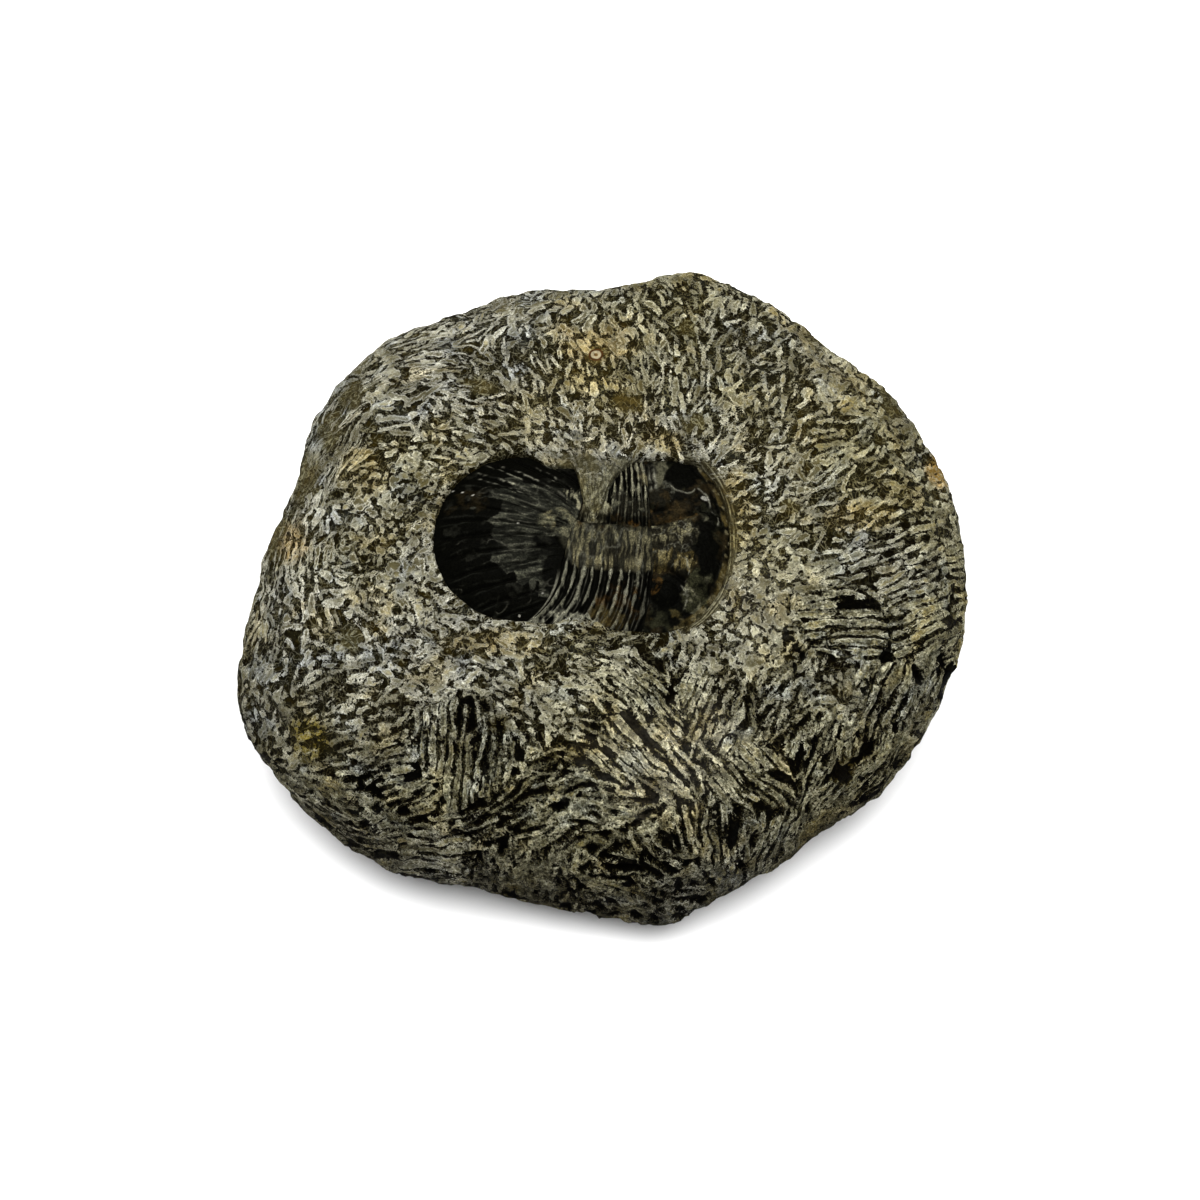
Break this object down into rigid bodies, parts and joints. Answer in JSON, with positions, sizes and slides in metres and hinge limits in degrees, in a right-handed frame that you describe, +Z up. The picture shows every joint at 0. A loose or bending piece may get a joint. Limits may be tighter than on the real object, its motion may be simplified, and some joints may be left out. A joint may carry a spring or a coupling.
{
  "type": "fossil trilobite",
  "caption": "Fossil trilobite with a fan-shaped tail and a wide head, lying in a hollow worked into the top of a rounded limestone block.",
  "frame": {"origin": "on the rest face, under the centre of the stone's bounding box", "axes": "+X the way the trilobite's head points, +Y towards the higher, far side of the stone, +Z up out of the rest face"},
  "size_m": [0.1174, 0.1054, 0.0493],
  "materials": {
    "limestone": "dark olive-grey limestone, matt, covered with pale tool marks",
    "tail_shell": "black calcite with a dull shine, dusty grey along the middle ribs",
    "thorax_shell": "black calcite under pale grey-brown dust on the raised ridges",
    "head_shell": "black and brown calcite with dusty patches and a yellow-brown border"
  },
  "bodies": {
    "root": {"matrix": "limestone", "pygidium": "tail_shell", "thorax_segment_01": "thorax_shell", "thorax_segment_02": "thorax_shell", "thorax_segment_03": "thorax_shell", "thorax_segment_04": "thorax_shell", "thorax_segment_05": "thorax_shell", "thorax_segment_06": "thorax_shell", "thorax_segment_07": "thorax_shell", "thorax_segment_08": "thorax_shell", "thorax_segment_09": "thorax_shell", "thorax_segment_10": "thorax_shell", "cephalon": "head_shell"}
  },
  "joints": []
}
